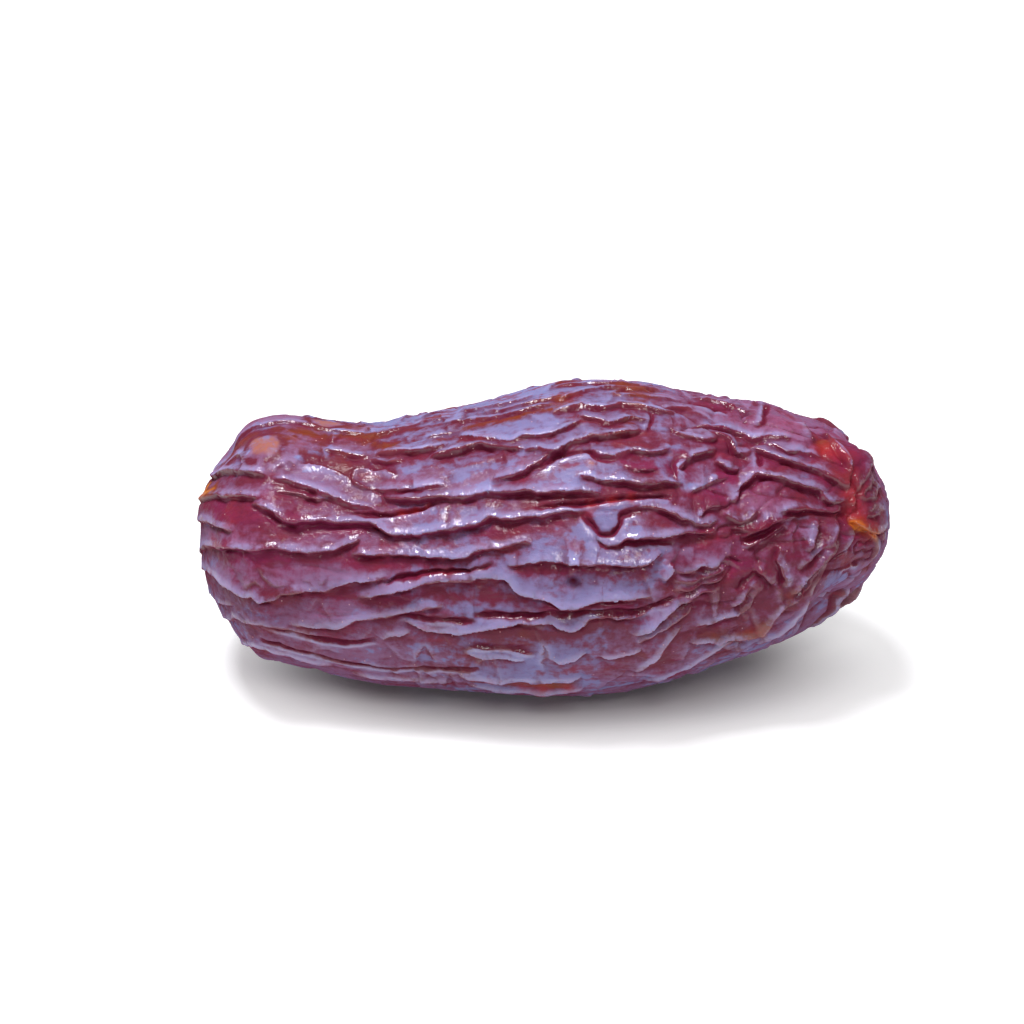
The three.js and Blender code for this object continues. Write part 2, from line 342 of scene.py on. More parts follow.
# Bare bands have no bloom: half width in mm, tone of the flesh (0 crimson, 0.5 mahogany, 1 amber)
# and places.
bareBands = [
    (0.45, 0.92, [(0.9, 92), (0.8, 78), (1.1, 67), (2.0, 60.5)]),
    (0.35, 0.45, [(2.5, 60.5), (4.8, 58), (6.8, 55.5), (8.5, 54.5)]),
    (0.50, 0.25, [(0.8, 52), (2.5, 47), (4.5, 46)]),
    (0.55, 0.15, [(1.5, 43), (4, 39.5), (6, 39), (8.5, 40), (10.5, 40.5), (13, 40)]),
    (0.75, 0.10, [(1.5, 22), (4, 23), (6.5, 24.5), (7.7, 22)]),
    (0.35, 0.30, [(8, 26), (10, 26.5), (12.5, 26.5), (15, 26.5), (18, 25.5)]),
    (0.40, 0.45, [(5.5, 3.5), (7.5, 8), (9.5, 10), (11.5, 11.5), (12.5, 9.5), (15, 11), (17, 13), (19, 12),
        (21, 12.5), (23, 11)]),
    (0.40, 0.40, [(8, -8), (10, -9.5), (12, -6), (13, -4)]),
    (0.55, 0.45, [(2, 84), (4, 89), (7, 89), (9, 86)]),
    (0.55, 0.35, [(6.5, 77), (7.5, 72), (9, 71), (11, 70), (12.5, 72)]),
    (0.28, 0.50, [(9, 90), (12, 92), (15, 94), (18, 92), (20, 88)]),
    (0.32, 0.55, [(12, 85), (14, 82), (15.5, 82)]),
    (0.28, 0.55, [(16, 78), (18, 79), (20, 81)]),
    (0.32, 0.55, [(18.5, 86), (20, 84), (22, 85.5), (24, 83.5), (26.5, 83.5), (28, 84.5)]),
    (0.28, 0.50, [(28, 102), (30, 103), (32, 101), (34, 100)]),
    (0.42, 0.55, [(19.5, 48), (21.5, 46.5), (23.5, 46.3)]),
    (0.40, 0.50, [(24, 44.8), (27, 45), (30, 44.8), (33, 45.8), (35, 46)]),
    (0.40, 0.05, [(30.5, 58), (31, 56.5), (32.5, 56), (33, 57)]),
    (0.50, 0.30, [(31.5, 65), (33, 64.5), (34.5, 66.5)]),
    (0.35, 0.30, [(20, 33.5), (22, 36), (25, 36), (27.5, 37.5)]),
    (0.50, 0.30, [(23.5, 20.5), (26, 21), (28, 19.5), (30, 18)]),
    (0.40, 0.30, [(24, 7), (26, 5.5), (29, 6), (31, 4.5)]),
    (0.45, 0.40, [(18, -5), (21, -4), (24, -4), (27, -5), (29, -2)]),
    (0.50, 0.70, [(18.5, -33), (21, -34), (24, -35), (27, -34)]),
    (0.40, 0.62, [(32.8, 8), (33.5, 11), (34.2, 14)]),
    (0.22, 0.70, [(34.5, 26), (36.5, 26.5), (38, 27)]),
    (0.80, 0.30, [(36.5, 96), (38, 93.5), (39.5, 91)]),
    (0.60, 0.30, [(37.5, 68), (39, 66), (39.8, 63), (41, 60.5), (42.3, 60)]),
    (0.70, 0.30, [(35.5, 62), (34.8, 58)]),
    (0.70, 0.20, [(38, 52), (39.5, 53), (41, 52)]),
    (0.80, 0.35, [(36, 42), (37.5, 41), (39, 42)]),
    (0.50, 0.40, [(44, 56), (45.2, 57)]),
    (0.80, 0.15, [(38.5, 14), (40, 13), (41.5, 11)]),
    (0.45, 0.68, [(35.5, -15), (37.5, -18), (39, -22), (40.5, -23.5), (41.5, -19)]),
    (0.16, 0.55, [(43, -13), (43.9, -10.5), (44.6, -7)]),
    (0.45, 0.35, [(38.5, 65), (40, 62.5), (41.5, 61.5), (42.3, 61)]),
    (0.55, 0.30, [(45.6, 100), (46.3, 94), (46.6, 86), (46.9, 80)]),
    (0.55, 0.74, [(46.9, 89), (47.3, 84), (47.8, 78)]),
    (0.50, 0.00, [(47.6, 82), (48.2, 75), (48.7, 66)]),
    (0.35, 0.00, [(49.35, 48), (49.4, 38), (49.35, 28), (49.1, 20)]),
    (0.30, 0.05, [(48.4, 28), (48.8, 24), (49.0, 18)]),
    (0.60, 1.15, [(48.95, 14), (49.15, 8), (49.4, -6), (49.6, -22), (49.75, -40)]),
    (0.35, 0.35, [(41.2, 105), (42.6, 104)]),
]

# Soft swellings and hollows of the flesh: place, spread in mm and height in mm.
bulges = [
    ((4.7, 75), 1.6, 0.40), ((1.7, 100), 1.6, -0.50), ((0.6, 100), 1.2, 0.35), ((0.8, 56), 1.7, 1.0),
    ((6.0, 103), 3.0, 0.15), ((18.0, 63), 3.0, 0.15), ((23.0, 108), 5.0, -0.30),
    ((42.5, 38), 2.6, 0.30), ((29.0, 33), 1.5, -0.10), ((27.2, 15), 0.40, -0.30),
    ((44.0, 88), 2.5, 0.20), ((49.0, 96), 1.6, 0.9), ((46.0, 110), 1.4, -0.35),
    ((45.0, 108), 1.6, -0.40), ((48.0, 84), 1.6, 0.45), ((42.0, 108), 2.0, 0.55),
    ((49.6, -40), 1.5, 0.30), ((45.2, -56), 3.2, -1.15), ((44.6, -62), 2.4, -1.0),
    ((5.0, -58), 4.5, -0.45), ((3.4, 108), 2.0, 0.45),
]

# Where the bloom turns rosy (1) or bluish (-1): place, spread in mm and tint; the bluish is partly the
# bloom's own tone, partly painted sheen.
tints = [
    ((2.5, 45), 3.0, 0.7), ((7, 37), 3.5, 0.9), ((4, 18), 2.5, 0.6), ((2, 28), 1.5, -0.7),
    ((5, 4), 2.5, 0.2), ((4.5, -4), 2.0, -0.5), ((1.0, -60), 2.4, -0.9), ((2.8, 69), 1.0, -0.7),
    ((8.5, 75), 1.0, -1.0), ((6, 68), 1.5, -0.2), ((11, 33), 3.0, 0.4), ((14, 0), 4.0, 0.2),
    ((10, -12), 4.0, 0.3), ((16, 60), 3.5, 0.3), ((18, 66), 2.5, -0.3), ((17, 43), 3.0, -0.3),
    ((21, 77), 3.0, -1.0), ((25, 97), 6.0, -0.7), ((14, 100), 5.0, -0.5), ((30, 75), 4.0, -0.8),
    ((30, 55), 3.5, -0.2), ((31, 34), 3.0, -0.4), ((28, 13), 4.0, -0.9), ((22, -12), 5.0, -0.9),
    ((21, 25), 3.5, -0.5), ((33, 62), 2.5, 0.0), ((38, 20), 3.5, 0.4), ((37, 0), 4.0, 0.3),
    ((43, 88), 3.0, 0.8), ((46, 86), 2.2, 1.2), ((44, 73), 2.0, -0.6), ((46, 60), 1.5, -0.8),
    ((43, 38), 3.0, 0.7), ((44, 15), 4.0, 0.9), ((44, -10), 3.0, 0.8), ((46.5, -18), 1.8, -0.3),
    ((42, -35), 3.0, 0.1), ((47.5, -33), 1.2, -1.0), ((39, -35), 2.5, -0.8), ((49, 95), 3.0, 0.8),
    ((47.8, 112), 2.2, 0.4),
]

# Where the bloom is thin and the flesh shows through: place, spread in mm and how much.
wornPlaces = [
    ((5.5, 47), 1.8, 0.65), ((8.5, 38), 2.2, 0.45), ((4.5, 21), 2.2, 0.5), ((2.0, 55), 1.2, 0.6),
    ((44, 20), 4.5, 0.4), ((45, -3), 3.5, 0.35), ((39, 8), 3.5, 0.3), ((41, -12), 4.0, 0.3),
    ((49.2, 30), 2.6, 1.0), ((49.4, -5), 1.3, 0.9), ((48.6, 78), 2.2, 0.9), ((36, 46), 2.5, 0.5),
    ((33, 50), 2.0, 0.4), ((3, 90), 2.5, 0.6), ((13, 88), 4.0, 0.5), ((22, 86), 4.5, 0.3),
    ((33, 88), 4.0, 0.3), ((6, -25), 5.0, 0.3), ((18, -20), 6.0, 0.35), ((32, -20), 6.0, 0.4),
]

# Corky tan spots on the skin: place, spread in mm.
tanSpots = [((4.6, 76), 1.25), ((8.0, 105), 1.2), ((29, 56), 0.30), ((6.0, 83.5), 0.22)]

# Thin folds that the light comes through: place, spread in mm and how much.
thinPlaces = [
    ((0.5, 68), 0.8, 0.9), ((0.25, 52), 0.7, 0.7), ((3.2, 43), 1.2, 0.35), ((15.3, 46.8), 0.35, 0.8),
    ((16.3, 47.4), 0.35, 0.8), ((17.2, 48.4), 0.35, 0.7), ((28.8, 42.0), 0.4, 0.6),
    ((30.2, 42.6), 0.4, 0.8), ((31.5, 43.2), 0.4, 0.8), ((47.4, 81), 1.0, 0.75),
    ((48.5, 70), 1.3, 0.40), ((49.2, 50), 1.2, 0.35), ((49.2, 34), 1.0, 0.45), ((49.3, 6), 0.8, 0.35),
    ((49.6, -20), 0.9, 0.45), ((22.5, -36.5), 0.6, 0.45), ((24.0, -36.5), 0.6, 0.65),
    ((25.6, -36.5), 0.6, 0.75), ((40.5, -24), 0.8, 0.3), ((43.6, -11), 0.5, 0.3),
]

# Small dark pits: place, spread in mm and depth in mm.
pits = [((27.2, 15), 0.42, 0.35), ((3.6, 9), 0.5, 0.15), ((48.95, 24), 0.55, 0.6), ((5.1, -18), 0.6, 0.2)]

foldShape = {
    "rise": 1.4,  # how far to its left a lip starts to rise
    "bead": (0.36, 0.30),  # the rolled edge at the lip: its share of the height, and its width
    "drop": 0.17,  # how far to its right it has fallen, plus a share of its height
    "dropShare": 0.20,
    "lean": 0.34,  # how far the crest hangs over its drop, as a share of its height
    "footDepth": 0.26,  # the pinch at the foot of a lip, as a share of its height
    "footWidth": 0.18,
    "valley": 0.34,  # the hollow beyond the foot, as a share of the height
    "valleyWidth": 1.0,
    "footAt": 1.25,  # where the pinch lies, as a share of the drop
    "unevenness": 0.6,  # how much the height changes along a fold
    "bareFrom": -0.10,  # where the bare strip starts, before the crest
    "taper": 1.6,  # length over which a fold fades at its ends
    "reach": 3.2,
    "wobble": (0.17, 1.4),  # how far the folds stray from their line, and over what length
    "tremble": (0.10, 0.6),
    "seed": 1795373049,  # another whole number gives the folds another wobble and tremble
}

hiddenFolds = {
    "seed": 11,
    "lanes": (131, 284, 11),  # from, to and apart, in degrees round the fruit
    "lengths": (3.5, 14.0),
    "heights": (0.25, 0.60),
    "bands": (0.20, 0.70),
    "drift": 0.5,  # degrees per mm that a fold strays from its lane
    "turnedShare": 0.35,  # how many hang the other way
    "slitShare": 0.4,
    "starts": (2.5, 5.0),
    "lastPlace": 46.5,
}

crinkleShape = {
    "roll": 9.0,  # mm, the radius that the noise is wound round
    "creaseWidth": 0.10,  # how much of the noise makes a crease
    "creaseDepth": (0.07, 0.12, 0.05),  # mm: all over, more near the stalk, more out of sight
}

smallFolds = {"seed": 5, "count": 420, "lengths": (0.7, 2.8), "heights": (0.06, 0.16)}

# Folds gather at the two ends: the place, how many, from which direction to which, and their lengths.
gathers = [
    {"seed": 3, "place": (49.0, 24), "count": 8, "turns": (-60, 75), "from": 1.6, "to": (3.5, 8.0),
     "height": (0.2, 0.4)},
    {"seed": 3, "place": (1.6, 205), "count": 15, "turns": (0, 336), "from": 0.5, "to": (3.0, 6.5),
     "height": (0.25, 0.45)},
]


class Skin:
    # what the folds do to each point of the skin
    raised, pinched, hollow, bare, deep, crest, rim, shade = np.zeros((8, len(along)))
    leaned = np.zeros((len(along), 3))
    tone = np.full(len(along), 0.35)


def flowing(size, seed, places=base):
    # a soft noise over the skin whose swells are about size mm across
    return np.array([noise.noise(place) for place in (places / size + seed).tolist()])


def straying(amount, size, seed):
    return amount * np.array([noise.noise_vector(place) for place in (base / size + seed).tolist()])


noise.seed_set(foldShape["seed"])  # without this the clock starts the vector noise
drawn = base + straying(*foldShape["wobble"], 2.5) + straying(*foldShape["tremble"], 9.5)
uneven = flowing(1.6, 31.0)
patchy = flowing(0.8, 47.0)
perRow = weave["aroundCount"] + 1
rowFront = base.reshape(-1, perRow, 3)[:, :, 0].mean(axis=1)
print("ready to draw the folds")


def routeOnFlesh(places):
    route = smoothCurve(places, 8)
    return fleshPoint(np.clip(route[:, 0], 0.0, Core.length), route[:, 1])


def nearRoute(route, reach):
    # the skin points near a route, how far each is to its right, how far along it, and which way
    # its right lies
    low, high = route.min(axis=0) - reach, route.max(axis=0) + reach
    first, last = np.searchsorted(rowFront, [low[0] - 6, high[0] + 6])
    rows = slice(first * perRow, last * perRow)
    some = drawn[rows]
    near = np.nonzero(np.all((some > low) & (some < high), axis=1))[0] + rows.start
    starts, steps = route[:-1], np.diff(route, axis=0)
    stepSquares = np.maximum(np.sum(steps**2, axis=1), 1e-12)
    travel = np.concatenate([[0], np.cumsum(np.sqrt(stepSquares))])
    best = np.full(len(near), np.inf)
    offset = np.zeros((len(near), 3))
    way = np.zeros(len(near))
    heading = np.zeros((len(near), 3))
    points = drawn[near]
    for start, step, square, gone in zip(starts, steps, stepSquares, travel):
        away = points - start
        forwards = away[:, 0] * step[0] + away[:, 1] * step[1] + away[:, 2] * step[2]
        share = np.clip(forwards / square, 0, 1)
        gap = away - share[:, None] * step
        squared = np.einsum("ij,ij->i", gap, gap)
        closer = squared < best
        best[closer] = squared[closer]
        offset[closer] = gap[closer]
        way[closer] = gone + share[closer] * math.sqrt(square)
        heading[closer] = step
    keep = best < reach**2
    near, offset, way, heading = near[keep], offset[keep], way[keep], heading[keep]
    sideways = unit(np.cross(heading, normal[near]))
    distance = np.sqrt(best[keep])
    side = np.where(np.einsum("ij,ij->i", offset, sideways) < 0, -1.0, 1.0)
    return near, distance * side, way, travel[-1], sideways


def fade(way, total):
    taper = min(foldShape["taper"], total / 3)
    nearerEnd = np.clip(np.minimum(way, total - way) / taper, 0, 1)
    return np.sqrt(nearerEnd * (2 - nearerEnd))


def most(values, near, others):
    values[near] = np.maximum(values[near], others)


def bell(values, centre, width):
    return np.exp(-(((values - centre) / width) ** 2))


def addLip(height, band, route, reach=foldShape["reach"]):
    near, right, way, total, sideways = nearRoute(route, reach)
    strength = fade(way, total)
    tall = height * (1 + foldShape["unevenness"] * uneven[near]) * strength
    scale = min(1.0, 0.35 + height * 1.6)
    drop = foldShape["drop"] + foldShape["dropShare"] * height
    share, wide = foldShape["bead"]
    slope = (1 - share) * np.exp(-np.abs(right) / (foldShape["rise"] * scale)) + share * bell(right, 0, wide)
    form = np.where(right < 0, slope, np.exp(-((np.abs(right) / drop) ** 2)))
    foot = drop * foldShape["footAt"]
    pinch = bell(right, foot, foldShape["footWidth"]) * np.clip(0.75 + 1.4 * patchy[near], 0.2, 1.3)
    beyond = np.exp(-np.abs(right - foot) / (foldShape["valleyWidth"] * scale)) * (right > 0)
    Skin.raised[near] += (tall * form) ** 3
    Skin.pinched[near] += (tall * foldShape["footDepth"] * pinch) ** 3
    Skin.hollow[near] += (tall * foldShape["valley"] * beyond) ** 3
    Skin.leaned[near] += sideways * (tall * foldShape["lean"] * form**2)[:, None]
    width = drop * 0.4 + 0.30 * band * np.clip(0.5 + 1.8 * uneven[near] + 0.8 * patchy[near], 0, 2)
    before = (right - foldShape["bareFrom"] * scale) / 0.15
    inBand = np.clip((width - right) / 0.32 + 0.5, 0, 1) * np.clip(before, 0, 1)
    shown = strength * min(1, height * 3)
    most(Skin.bare, near, inBand * shown)
    # the foot of each lip: the flesh's dark crimson, darkened further as painted shade
    most(Skin.deep, near, pinch * shown * 0.85)
    most(Skin.crest, near, bell(right, -0.06, 0.26) * shown)
    # painted highlight: a lighter band of bloom before the crest, where the light catches the rolled edge
    towards = np.exp(-np.abs(right) / 0.6) * (right < 0)
    most(Skin.rim, near, (0.6 * bell(right, foldShape["bareFrom"] - 0.12, 0.18) + 0.4 * towards) * shown)
    most(Skin.shade, near, np.exp(-np.maximum(right - drop, 0) / 1.3) * (right > 0) * shown)


def addSlit(depth, width, route):
    near, right, way, total, sideways = nearRoute(route, 1.6)
    strength = fade(way, total)
    wide = width * np.clip(1 + 0.9 * uneven[near], 0.5, 1.5)
    pinch = np.exp(-((right / wide) ** 2))
    Skin.pinched[near] += (depth * pinch * strength) ** 3
    lowerLip = bell(right, width * 2.2, 0.2)
    Skin.raised[near] += (depth * strength * (0.3 * lowerLip + 0.3 * bell(right, -width * 2.6, 0.4))) ** 3
    most(Skin.bare, near, np.exp(-((right / (wide * 1.6)) ** 4)) * strength * 0.8)
    # inside the slit: dark crimson flesh with painted shade
    most(Skin.deep, near, np.exp(-((right / (wide * 1.1)) ** 2)) * strength)
    # painted highlight on the slit's lower lip
    most(Skin.rim, near, lowerLip * strength)
    most(Skin.crest, near, lowerLip * strength * 0.7)
    most(Skin.shade, near, np.exp(-np.abs(right) / 0.5) * strength * 0.8)


def addBareBand(width, tone, route):
    near, right, way, total, sideways = nearRoute(route, width + 0.8)
    inside = np.clip((width * (0.75 + uneven[near]) - np.abs(right)) / 0.8 + 0.4, 0, 1) * fade(way, total)
    most(Skin.bare, near, inside * 0.75)
    Skin.tone[near] += (tone - Skin.tone[near]) * np.clip(inside * 1.5, 0, 1)


def closeness(place, spread):
    # 1 at the place, falling to nothing over the spread
    gap = base - fleshPoint(np.array(place[0]), np.array(place[1]))
    return np.exp(-np.einsum("ij,ij->i", gap, gap) / spread**2)


def foldsOutOfSight():
    # the far side and the underside carry on in the same habit: long lanes of folds that start and
    # end anywhere, and crinkle more towards the stalk end
    draw = np.random.default_rng(hiddenFolds["seed"])
    for lane in np.arange(*hiddenFolds["lanes"]):
        at = draw.uniform(*hiddenFolds["starts"])
        while at < hiddenFolds["lastPlace"] - 2:
            crinkle = at / Core.length
            length = draw.uniform(*hiddenFolds["lengths"]) * (1.1 - 0.7 * crinkle)
            bends = max(3, int(length / 1.8))
            reach = np.minimum(at + np.linspace(0, length, bends), hiddenFolds["lastPlace"])
            wander = np.cumsum(draw.normal(0, 0.9 + 2.6 * crinkle, bends))
            drift = draw.normal(0, hiddenFolds["drift"]) * (reach - reach.mean())
            turn = lane + draw.uniform(-5, 5) + wander - wander.mean() + drift
            places = np.stack([reach, turn], axis=1)
            tall = draw.uniform(*hiddenFolds["heights"]) * np.clip((lane - 120) / 25, 0, 1)
            route = routeOnFlesh(places)
            hangsOver = draw.random() < hiddenFolds["turnedShare"]
            addLip(tall, draw.uniform(*hiddenFolds["bands"]), route[::-1] if hangsOver else route)
            if draw.random() < hiddenFolds["slitShare"]:
                lower = places + (0, draw.uniform(3.5, 5))
                addSlit(draw.uniform(0.3, 0.55), draw.uniform(0.14, 0.2), routeOnFlesh(lower))
            if draw.random() < 0.3:
                addBareBand(draw.uniform(0.4, 0.8), draw.uniform(0.1, 0.9), routeOnFlesh(places - (0, 4)))
            at += length + draw.uniform(-3.0, 1.2)


def smallFoldsEverywhere():
    draw = np.random.default_rng(smallFolds["seed"])
    for fold in range(smallFolds["count"]):
        at, turn = draw.uniform(3, 47), draw.uniform(0, 360)
        length = draw.uniform(*smallFolds["lengths"])
        slant = draw.normal(0, 4 + at / 8, 3)
        places = [(at + share * length, turn + slant[i]) for i, share in enumerate((0, 0.5, 1))]
        addLip(draw.uniform(*smallFolds["heights"]), 0.1, routeOnFlesh(places), 1.4)


def gatheredFolds(gather):
    # folds drawn together where the stalk was, and at the tip
    draw = np.random.default_rng(gather["seed"])
    centre = fleshPoint(*np.array(gather["place"], float))
    facing = normal[np.argmin(np.sum((base - centre) ** 2, axis=1))]
    across = unit(np.cross([0, 0, 1], facing))
    rising = np.cross(facing, across)
    first, last = np.radians(gather["turns"])
    for turn in np.linspace(first, last, gather["count"]) + draw.uniform(-0.08, 0.08, gather["count"]):
        reach = np.linspace(gather["from"], draw.uniform(*gather["to"]), 7)
        bent = turn + np.cumsum(draw.normal(0, 0.06, 7))
        spokes = centre + reach[:, None] * (np.cos(bent)[:, None] * across + np.sin(bent)[:, None] * rising)
        onSkin = [base[np.argmin(np.sum((base - spoke) ** 2, axis=1))] for spoke in spokes]
        addLip(draw.uniform(*gather["height"]), draw.uniform(0.2, 0.5), smoothCurve(onSkin, 4))


for height, band, places in lips:
    addLip(height, band, routeOnFlesh(places))
for depth, width, places in slits:
    addSlit(depth, width, routeOnFlesh(places))
print("near side drawn:", len(lips), "lips and", len(slits), "slits")
foldsOutOfSight()
smallFoldsEverywhere()
for gather in gathers:
    gatheredFolds(gather)
for width, tone, places in bareBands:
    addBareBand(width, tone, routeOnFlesh(places))
print("far side, small folds and bare bands drawn")

swelling = sum(height * closeness(place, spread) for place, spread, height in bulges)
pitted = sum(depth * closeness(place, spread) for place, spread, depth in pits)
pitColourAndShade = sum(min(1, depth * 3) * closeness(place, spread) for place, spread, depth in pits)
corky = sum(closeness(place, spread) for place, spread in tanSpots)
tan = np.clip(5 * (corky + 0.35 * patchy - 0.45), 0, 1)
most(Skin.bare, slice(None), bell(corky, 0.28, 0.12) * 0.9)
# pits: dark flesh with painted shade in them
most(Skin.deep, slice(None), np.clip(pitColourAndShade, 0, 1))
facing = np.where(around < -155, around + 360, around)  # degrees, with its jump under the fruit
onTop = np.clip((facing - 58) / 18, 0, 1) * np.clip((130 - facing) / 12, 0, 1)
Skin.tone += 0.20 * onTop * np.clip((38 - along) / 6, 0, 1)
tint = sum(value * closeness(place, spread) for place, spread, value in tints)
worn = sum(value * closeness(place, spread) for place, spread, value in wornPlaces)
thin = sum(value * closeness(place, spread) for place, spread, value in thinPlaces)


def crinkles(stretch, size, seed):
    # a noise drawn out along the fruit; thin creases lie where it passes through nothing
    turn = np.radians(around)
    roll = crinkleShape["roll"] * roundEnd(along) * roundEnd(Core.length - along)
    places = np.stack([along * stretch, roll * np.cos(turn), roll * np.sin(turn)], axis=1)
    return flowing(size, seed, places)


fine = crinkles(0.45, 1.6, 3.1)
finer = crinkles(0.6, 0.7, 17.7)
calm = np.clip(1 - np.cbrt(Skin.raised) * 2, 0.2, 1)
stalkward = np.clip((along - 28) / 10, 0, 1)
unseen = np.clip((np.abs(facing - 25) - 80) / 20, 0, 1)
allOver, nearStalk, outOfSight = crinkleShape["creaseDepth"]
creaseDepth = allOver + nearStalk * stalkward + outOfSight * unseen
creases = creaseDepth * np.exp(-((fine / crinkleShape["creaseWidth"]) ** 2)) * calm
swells = crinkles(0.4, 3.4, 71.3)
ripple = 0.12 * swells + 0.08 * fine + (0.04 + 0.03 * stalkward) * finer
print("crinkles drawn")

folded = np.cbrt(Skin.raised) - np.cbrt(Skin.pinched) - np.cbrt(Skin.hollow)
relief = folded - 0.12 + swelling - pitted - creases + ripple
capped = np.minimum(roundEnd(along) * 1.35, 1) * np.minimum(roundEnd(Core.length - along) * 1.9, 1)
skin = base + normal * relief[:, None] * capped[:, None] + Skin.leaned
creased = np.clip(creases / creaseDepth - 0.5, 0, 1)
most(Skin.bare, slice(None), creased * (0.3 + stalkward + unseen) * 0.8)
# creases darkened as painted shade
most(Skin.deep, slice(None), creased * (0.3 + stalkward) * 0.8)

# stand it in the middle of the CAD solid's box, with its underside pressed flat on the table
low, high = (np.array(corner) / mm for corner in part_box("date_fruit"))
middle = (skin.min(axis=0) + skin.max(axis=0)) / 2
floor = base[:, 2].min() + flesh["settledBy"]
shift = np.array([(low[0] + high[0]) / 2 - middle[0], (low[1] + high[1]) / 2 - middle[1], -floor])
skin += shift
skin[:, 2] = np.maximum(skin[:, 2], 0.0)

mesh.vertices.foreach_set("co", (skin * mm).astype(np.float32).ravel())
paint = {"bare": Skin.bare, "deep": Skin.deep, "crest": Skin.crest, "rim": Skin.rim, "tone": Skin.tone,
         "shade": Skin.shade, "tint": tint, "worn": np.clip(worn, 0, 1), "tan": tan,
         "thin": np.clip(thin, 0, 1)}
for name, values in paint.items():
    layer = mesh.attributes.new(name, "FLOAT", "POINT")
    layer.data.foreach_set("value", values.astype(np.float32))
mesh.polygons.foreach_set("use_smooth", np.ones(len(mesh.polygons), bool))
mesh.update()

date = bpy.data.objects.new("date_skin", mesh)
bpy.context.collection.objects.link(date)


def thinned(piece, triangles):
    # fewer faces where the skin is plain, as many as before where it folds
    modifier = piece.modifiers.new("thin", "DECIMATE")
    modifier.ratio = triangles / (len(piece.data.polygons) * 2)
    modifier.use_collapse_triangulate = True
    bpy.context.view_layer.update()
    evaluated = piece.evaluated_get(bpy.context.evaluated_depsgraph_get())
    thin = bpy.data.meshes.new_from_object(evaluated)
    piece.modifiers.clear()
    piece.data = thin
    print("skin thinned to", len(thin.polygons), "faces")


def sewn(piece):
    # joins the sheet's edges to each other and closes its ends
    bm = bmesh.new()
    bm.from_mesh(piece.data)
    bmesh.ops.remove_doubles(bm, verts=bm.verts, dist=0.002 * mm)
    bmesh.ops.recalc_face_normals(bm, faces=bm.faces)
    bm.to_mesh(piece.data)
    bm.free()


sewn(date)
thinned(date, weave["thinnedTo"])
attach(date, "root")
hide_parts("date_fruit")


def linear(code):
    # an sRGB hex colour as linear light
    parts = [int(code[i:i + 2], 16) / 255 for i in (1, 3, 5)]
    return tuple(p / 12.92 if p <= 0.04045 else ((p + 0.055) / 1.055) ** 2.4 for p in parts) + (1.0,)


def addNode(tree, kind, inputs=(), **settings):
    # adds a node; each of its inputs takes a number, a hex colour, a socket or a node's first output
    node = tree.nodes.new("ShaderNode" + kind)
    for name, value in settings.items():
        setattr(node, name, value)
    sockets = [socket for socket in node.inputs if socket.enabled]
    named = {socket.name: socket for socket in sockets}
    for key, value in inputs.items() if isinstance(inputs, dict) else enumerate(inputs):
        socket = named[key] if isinstance(key, str) else sockets[key]
        if isinstance(value, bpy.types.Node):
            value = next(output for output in value.outputs if output.enabled)
        if isinstance(value, bpy.types.NodeSocket):
            tree.links.new(value, socket)
        else:
            socket.default_value = linear(value) if isinstance(value, str) else value
    return node


# Dried date skin: thin, tough and a little waxy over dark red-brown flesh. Where it lies smooth a
# dusty lavender bloom sits on it. Where it folds the bloom is rubbed off and it is glossy.
dateLook = {
    "bloom": "#8c6084",
    # partly the bloom's own bluish tone, partly a painted sheen of the light on it
    "bloomCoolAndSheen": "#8680b0",
    "bloomWarm": "#945074",
    # painted highlight: the light lavender of the lit band before each crest
    "rim": "#a89ece",
    # painted shade: the darker skin beyond each fold, under the lip above it
    "shadePlum": "#703e5e",
    "crimson": "#82264e",
    "mahogany": "#70283e",
    "copper": "#82381e",
    "amber": "#d87a1c",
    # crevices: the flesh's own dark crimson, darkened further as painted shade
    "pinch": "#64102e",
    "lit": "#a62c30",
    "dust": "#dba6ac",
    "cork": "#a8685e",
    "bloomRoughness": 0.46,
    "bareRoughness": 0.42,
    "grainSize": 0.45,  # mm
    "pleatSize": 0.24,  # mm, the finest puckers over the crests
    "wrinkleSize": 0.5,  # mm, drawn out along the fruit
    "streakSize": 1.1,  # mm, drawn out along the fruit
    "speckSpacing": 0.7,  # mm
    "patchSize": 2.6,  # mm
    "pleated": (1, 0.45, 0.45),  # puckers run across the crests
    "drawnOut": (0.35, 1, 1),  # streaks and wrinkles run along the fruit
    "pleatDepth": 0.10,  # mm, of the grain and the puckers
    "pleatStrength": 0.7,
    # the same all over: dust takes most of the shine, the crests have it back as a coat, and red
    # light goes far further into the flesh than green and blue
    "allOver": {
        "Specular IOR Level": 0.10,
        "Coat Roughness": 0.08,
        "Sheen Weight": 0.02,
        "Sheen Roughness": 0.35,
        "Sheen Tint": linear("#c8bee6"),
        "Subsurface Weight": 0.25,
        "Subsurface Radius": (1.0, 0.22, 0.18),
        "Subsurface Scale": 1.0 * mm,
    },
}


soft = {"interpolation_type": "SMOOTHSTEP"}  # a range with rounded ends


